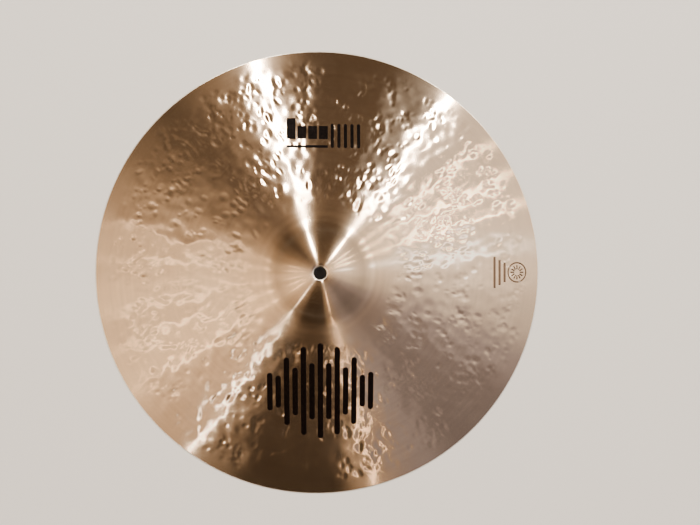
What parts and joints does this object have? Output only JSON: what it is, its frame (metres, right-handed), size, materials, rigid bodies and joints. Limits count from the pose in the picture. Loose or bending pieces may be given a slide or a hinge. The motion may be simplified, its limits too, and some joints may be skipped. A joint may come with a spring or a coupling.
{
  "type": "crash cymbal",
  "caption": "Thin hammered and lathed bronze crash cymbal with a domed bell, a curved bow, a central hole for a stand rod and printed marks on top.",
  "frame": {"origin": "centre of the rim circle, on the plane that the rim rests on", "axes": "+Z along the cymbal's axis, from the rim plane up through the bell; +Y from the large emblem through the hole to the small label"},
  "size_m": [0.4572, 0.4572, 0.0408],
  "materials": {
    "bronze": "hammered and lathed, unlacquered",
    "ink": "screen-printed, satin black"
  },
  "bodies": {
    "root": {"cymbal": "bronze", "emblem_bar_01": "ink", "emblem_bar_02": "ink", "emblem_bar_03": "ink", "emblem_bar_04": "ink", "emblem_bar_05": "ink", "emblem_bar_06": "ink", "emblem_bar_07": "ink", "emblem_bar_08": "ink", "emblem_bar_09": "ink", "emblem_bar_10": "ink", "emblem_bar_11": "ink", "emblem_bar_12": "ink", "emblem_bar_13": "ink", "label_block_1": "ink", "label_block_2": "ink", "label_block_3": "ink", "label_block_4": "ink", "label_stroke_1": "ink", "label_stroke_2": "ink", "label_stroke_3": "ink", "label_stroke_4": "ink", "label_stroke_5": "ink", "label_underline": "ink"}
  },
  "joints": []
}
